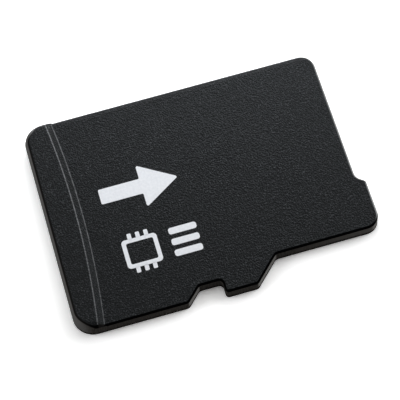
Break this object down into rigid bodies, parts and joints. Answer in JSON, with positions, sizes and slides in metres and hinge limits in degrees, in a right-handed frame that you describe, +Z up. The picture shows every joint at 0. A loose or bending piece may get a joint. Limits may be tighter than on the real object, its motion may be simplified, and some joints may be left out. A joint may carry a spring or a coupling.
{
  "type": "memory card",
  "caption": "Fingernail-sized moulded memory card with a bowed pull ridge, a latch notch, a stepped edge and a row of gold contacts under its front end.",
  "frame": {"origin": "middle of the underside's bounding box, on the surface that the card lies on", "axes": "+X along the card towards the contact end that goes into the socket, +Y towards the straight long edge, +Z up, out of the label face"},
  "size_m": [0.015, 0.011, 0.001],
  "materials": {
    "mould_compound": "fine grained black epoxy moulding compound",
    "print_ink": "white printed ink",
    "board_laminate": "black solder resist over glass laminate",
    "contact_gold": "hard gold plating, satin",
    "silicon": "polished silicon",
    "die_film": "adhesive film",
    "bond_wire_gold": "drawn gold wire",
    "finger_gold": "soft gold plating",
    "capacitor_ceramic": "fired ceramic with tinned ends"
  },
  "bodies": {
    "root": {"moulded_body": "mould_compound", "substrate_board": "board_laminate", "memory_die": "silicon", "memory_die_film": "die_film", "memory_bond_wires": "bond_wire_gold", "memory_bond_fingers": "finger_gold", "controller_die": "silicon", "controller_die_film": "die_film", "controller_bond_wires": "bond_wire_gold", "controller_bond_fingers": "finger_gold", "supply_capacitor": "capacitor_ceramic", "core_capacitor": "capacitor_ceramic", "memory_capacitor": "capacitor_ceramic", "contact_data_2": "contact_gold", "contact_data_3": "contact_gold", "contact_command": "contact_gold", "contact_supply": "contact_gold", "contact_clock": "contact_gold", "contact_ground": "contact_gold", "contact_data_0": "contact_gold", "contact_data_1": "contact_gold"}
  },
  "joints": []
}
